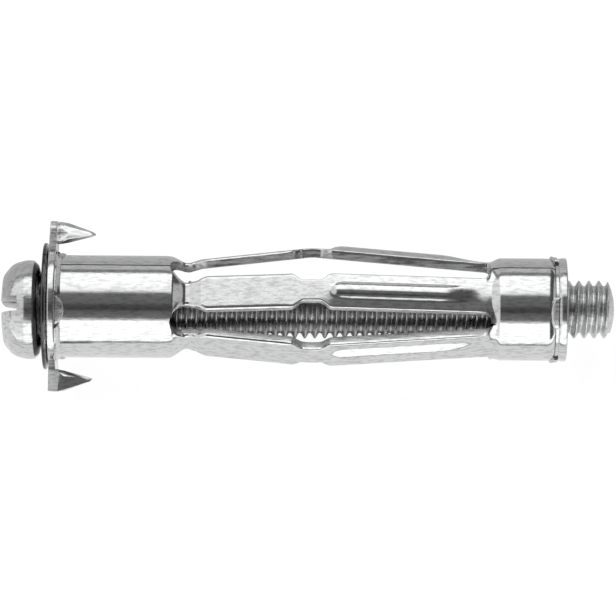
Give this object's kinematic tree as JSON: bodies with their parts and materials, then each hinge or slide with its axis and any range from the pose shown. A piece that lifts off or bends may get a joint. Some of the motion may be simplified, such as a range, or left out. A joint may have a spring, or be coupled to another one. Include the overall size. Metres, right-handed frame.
{
  "type": "hollow wall anchor",
  "caption": "Unset metal hollow wall anchor: a slit sleeve with folding legs, a clawed washer, a captive nut and a pan-head screw.",
  "frame": {"origin": "on the screw's axis, in the plane of the claw plate's face that lies on the wall", "axes": "+X along the screw towards its free thread end, +Z through the middle of the uppermost leg as the anchor lies on a surface"},
  "size_m": [0.0614, 0.0184, 0.0126],
  "materials": {
    "sleeve_steel": "bright zinc plating on rolled sheet, polished barrels and finely grained legs",
    "plate_steel": "bright zinc plating on a stamped washer",
    "nut_steel": "bright zinc plating on a turned nut",
    "screw_steel": "bright zinc plating on a rolled-thread screw"
  },
  "bodies": {
    "anchor": {"sleeve": "sleeve_steel", "claw_plate": "plate_steel", "nut": "nut_steel"},
    "screw": {"screw": "screw_steel"}
  },
  "joints": [
    {"name": "screw_turn", "type": "hinge", "parent": "anchor", "child": "screw", "pos_m": [0.04723, 0, 0], "axis": [1, 0.007, 0.0023], "continuous": true}
  ]
}
